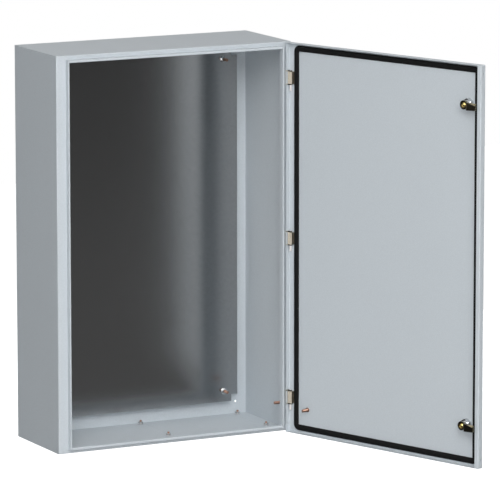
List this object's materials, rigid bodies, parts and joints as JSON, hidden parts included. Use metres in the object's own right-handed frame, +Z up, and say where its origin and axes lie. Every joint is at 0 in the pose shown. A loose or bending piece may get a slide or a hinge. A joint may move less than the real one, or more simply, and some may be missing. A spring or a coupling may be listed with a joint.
{
  "type": "steel wall enclosure",
  "caption": "Folded steel wall cabinet with a mounting plate, a bottom gland plate and a right-hinged foam-sealed door with cam locks, shown open.",
  "frame": {"origin": "Middle of the four wall-fixing holes, on the outer rear face of the body.", "axes": "+X is right as seen from the front, +Y goes out of the back towards the wall, +Z is up."},
  "size_m": [0.8588, 0.8748, 1.003],
  "materials": {
    "body_paint": "semi-gloss textured light grey powder coat",
    "gland_plate_paint": "semi-gloss textured light grey powder coat",
    "door_paint": "semi-gloss textured light grey powder coat",
    "galvanised_steel": "bare zinc-coated sheet",
    "copper_plating": "copper-plated steel",
    "zinc_plating": "bright zinc plate",
    "hinge_zinc": "zinc plate with a warm passivation",
    "pin_steel": "polished plated steel",
    "foam_gasket": "foamed-in-place polyurethane, matte",
    "flat_seal": "matte cellular rubber",
    "lock_chrome": "bright plated die casting",
    "lock_insert_zinc": "plated zinc die casting",
    "cam_brass": "yellow-passivated steel, dull",
    "bolt_brass": "bright yellow passivation"
  },
  "bodies": {
    "cabinet": {"body_shell": "body_paint", "top_panel": "body_paint", "bottom_panel": "body_paint", "mounting_plate": "galvanised_steel", "mounting_plate_studs": "copper_plating", "mounting_plate_spacers": "zinc_plating", "mounting_plate_nuts": "zinc_plating", "gland_plate": "gland_plate_paint", "gland_plate_seal": "flat_seal", "gland_plate_studs": "copper_plating", "gland_plate_nuts": "zinc_plating", "body_earth_stud": "copper_plating", "hinge_bracket_top": "hinge_zinc", "hinge_bracket_middle": "hinge_zinc", "hinge_bracket_bottom": "hinge_zinc", "hinge_pin_top": "pin_steel", "hinge_pin_middle": "pin_steel", "hinge_pin_bottom": "pin_steel"},
    "door": {"door_panel": "door_paint", "door_gasket": "foam_gasket", "door_earth_stud": "copper_plating", "hinge_block_top": "hinge_zinc", "hinge_block_middle": "hinge_zinc", "hinge_block_bottom": "hinge_zinc", "upper_lock_housing": "lock_chrome", "upper_lock_seal": "flat_seal", "upper_lock_nut": "lock_chrome", "lower_lock_housing": "lock_chrome", "lower_lock_seal": "flat_seal", "lower_lock_nut": "lock_chrome"},
    "upper_lock": {"upper_lock_insert": "lock_insert_zinc", "upper_lock_cam": "cam_brass", "upper_lock_bolt": "bolt_brass"},
    "lower_lock": {"lower_lock_insert": "lock_insert_zinc", "lower_lock_cam": "cam_brass", "lower_lock_bolt": "bolt_brass"}
  },
  "joints": [
    {"name": "door_hinge", "type": "hinge", "parent": "cabinet", "child": "door", "pos_m": [0.3163, -0.2668, 0], "axis": [0, 0, 1], "range_deg": [-109.4, 5.6]},
    {"name": "upper_lock_turn", "type": "hinge", "parent": "door", "child": "upper_lock", "pos_m": [0.51799, -0.82267, 0.3995], "axis": [-0.9432, -0.3322, 0], "range_deg": [-90, 0]},
    {"name": "lower_lock_turn", "type": "hinge", "parent": "door", "child": "lower_lock", "pos_m": [0.51799, -0.82267, -0.3965], "axis": [-0.9432, -0.3322, 0], "range_deg": [-90, 0]}
  ]
}
